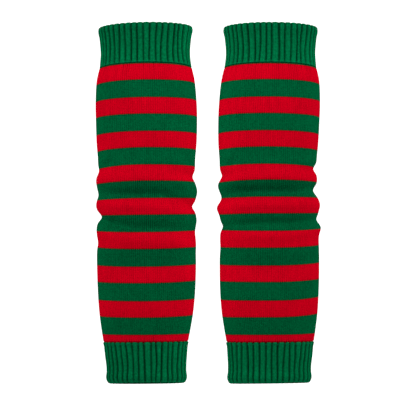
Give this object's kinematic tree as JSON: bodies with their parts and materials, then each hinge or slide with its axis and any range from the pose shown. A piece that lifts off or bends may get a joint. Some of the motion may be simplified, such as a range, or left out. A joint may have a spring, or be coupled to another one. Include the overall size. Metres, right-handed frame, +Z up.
{
  "type": "pair of leg warmers",
  "caption": "Pair of knitted leg warmers in red and green hoops, with ribbed green welts at calf and ankle and soft folds at mid leg, hollow as if worn.",
  "frame": {"origin": "where the legs hold the pair up: midway between the two warmers, at the height of the narrowest ring of the calf welts and on the tubes' middle line from front to back", "axes": "+Z up along the legs, +X to the right of someone looking at the front, and the front faces -Y"},
  "size_m": [0.2483, 0.0933, 0.398],
  "materials": {
    "rib_knit": "doubled rib knit in deep green, matte with a slight sheen",
    "striped_knit": "plain jersey knit in even red and green hoops, matte with a slight sheen"
  },
  "bodies": {
    "root": {"left_calf_welt": "rib_knit", "left_leg_tube": "striped_knit", "left_ankle_welt": "rib_knit", "right_calf_welt": "rib_knit", "right_leg_tube": "striped_knit", "right_ankle_welt": "rib_knit"}
  },
  "joints": []
}
